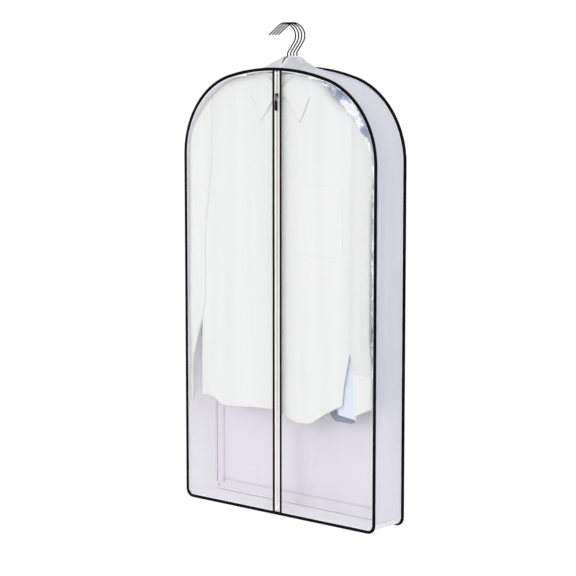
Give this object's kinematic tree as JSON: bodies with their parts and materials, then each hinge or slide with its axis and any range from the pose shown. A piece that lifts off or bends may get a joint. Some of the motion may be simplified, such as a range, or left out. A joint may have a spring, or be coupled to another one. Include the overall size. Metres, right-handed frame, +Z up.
{
  "type": "garment bag",
  "caption": "Hanging garment bag with an arched top, clear zipped front, black-bound edges and a deep gusset, filled with shirts on swivel-hook hangers.",
  "frame": {"origin": "rail point: the inner top of the hooks, half way through the depth of the row of hooks", "axes": "+Z up, +X to the right seen from the front, +Y from the clear front to the back"},
  "size_m": [0.6166, 0.1189, 1.2065],
  "materials": {
    "clear_film": "clear glossy film",
    "frosted_film": "translucent pale lavender film, satin",
    "black_binding": "woven black binding tape",
    "zip_tape": "woven off-white tape",
    "zip_strip": "woven black tape",
    "zip_coil": "nylon coil",
    "zip_metal": "dark plated metal",
    "pull_tab": "black moulded tab",
    "hanger": "white moulded plastic",
    "hook_chrome": "polished wire",
    "shirt_cloth": "white cotton poplin",
    "button": "pearl button"
  },
  "bodies": {
    "bag": {"back_binding": "black_binding", "back_panel": "frosted_film", "front_binding": "black_binding", "front_film_left": "clear_film", "front_film_right": "clear_film", "gusset_bottom": "frosted_film", "gusset_left": "frosted_film", "gusset_right": "frosted_film", "zip_bottom_stop": "zip_metal", "zip_coil_left": "zip_coil", "zip_coil_right": "zip_coil", "zip_strip_left": "zip_strip", "zip_strip_right": "zip_strip", "zip_tape_left": "zip_tape", "zip_tape_right": "zip_tape", "zip_top_stops": "zip_metal"},
    "zip_slider": {"zip_slider": "zip_metal"},
    "pull_link": {"pull_link": "zip_metal"},
    "pull_tab": {"pull_tab": "pull_tab"},
    "garments": {"hanger_1": "hanger", "hanger_2": "hanger", "hanger_3": "hanger", "hanger_4": "hanger", "shirt_1_body": "shirt_cloth", "shirt_1_buttons": "button", "shirt_1_collar": "shirt_cloth", "shirt_1_cuffs": "shirt_cloth", "shirt_1_sleeve_left": "shirt_cloth", "shirt_1_sleeve_right": "shirt_cloth", "shirt_2_body": "shirt_cloth", "shirt_2_buttons": "button", "shirt_2_collar": "shirt_cloth", "shirt_2_cuffs": "shirt_cloth", "shirt_2_sleeve_left": "shirt_cloth", "shirt_2_sleeve_right": "shirt_cloth", "shirt_3_body": "shirt_cloth", "shirt_3_buttons": "button", "shirt_3_collar": "shirt_cloth", "shirt_3_cuffs": "shirt_cloth", "shirt_3_sleeve_left": "shirt_cloth", "shirt_3_sleeve_right": "shirt_cloth", "shirt_4_body": "shirt_cloth", "shirt_4_buttons": "button", "shirt_4_collar": "shirt_cloth", "shirt_4_cuffs": "shirt_cloth", "shirt_4_sleeve_left": "shirt_cloth", "shirt_4_sleeve_right": "shirt_cloth"},
    "hook_1": {"hook_1": "hook_chrome"},
    "hook_2": {"hook_2": "hook_chrome"},
    "hook_3": {"hook_3": "hook_chrome"},
    "hook_4": {"hook_4": "hook_chrome"}
  },
  "joints": [
    {"name": "slider_travel", "type": "slide", "parent": "bag", "child": "zip_slider", "axis": [0, 0, -1], "range_m": [-0.04, 1]},
    {"name": "link_hinge", "type": "hinge", "parent": "zip_slider", "child": "pull_link", "pos_m": [0, -0.0592, -0.172], "axis": [-1, 0, 0], "range_deg": [0, 100]},
    {"name": "tab_hinge", "type": "hinge", "parent": "pull_link", "child": "pull_tab", "pos_m": [0, -0.0592, -0.181], "axis": [-1, 0, 0], "range_deg": [0, 70]},
    {"name": "garments_shift", "type": "slide", "parent": "bag", "child": "garments", "axis": [0, 1, 0], "range_m": [-0.001, 0.01]},
    {"name": "hook_1_swivel", "type": "hinge", "parent": "garments", "child": "hook_1", "pos_m": [0, -0.01695, -0.1], "axis": [0, 0, 1], "range_deg": [-95, 25]},
    {"name": "hook_2_swivel", "type": "hinge", "parent": "garments", "child": "hook_2", "pos_m": [0, -0.00565, -0.1], "axis": [0, 0, 1], "range_deg": [-95, 25]},
    {"name": "hook_3_swivel", "type": "hinge", "parent": "garments", "child": "hook_3", "pos_m": [0, 0.00565, -0.1], "axis": [0, 0, 1], "range_deg": [-95, 25]},
    {"name": "hook_4_swivel", "type": "hinge", "parent": "garments", "child": "hook_4", "pos_m": [0, 0.01695, -0.1], "axis": [0, 0, 1], "range_deg": [-95, 25]}
  ],
  "couplings": [
    {"joint": "hook_2_swivel", "follows": "hook_1_swivel", "ratio": 1},
    {"joint": "hook_3_swivel", "follows": "hook_1_swivel", "ratio": 1},
    {"joint": "hook_4_swivel", "follows": "hook_1_swivel", "ratio": 1}
  ]
}
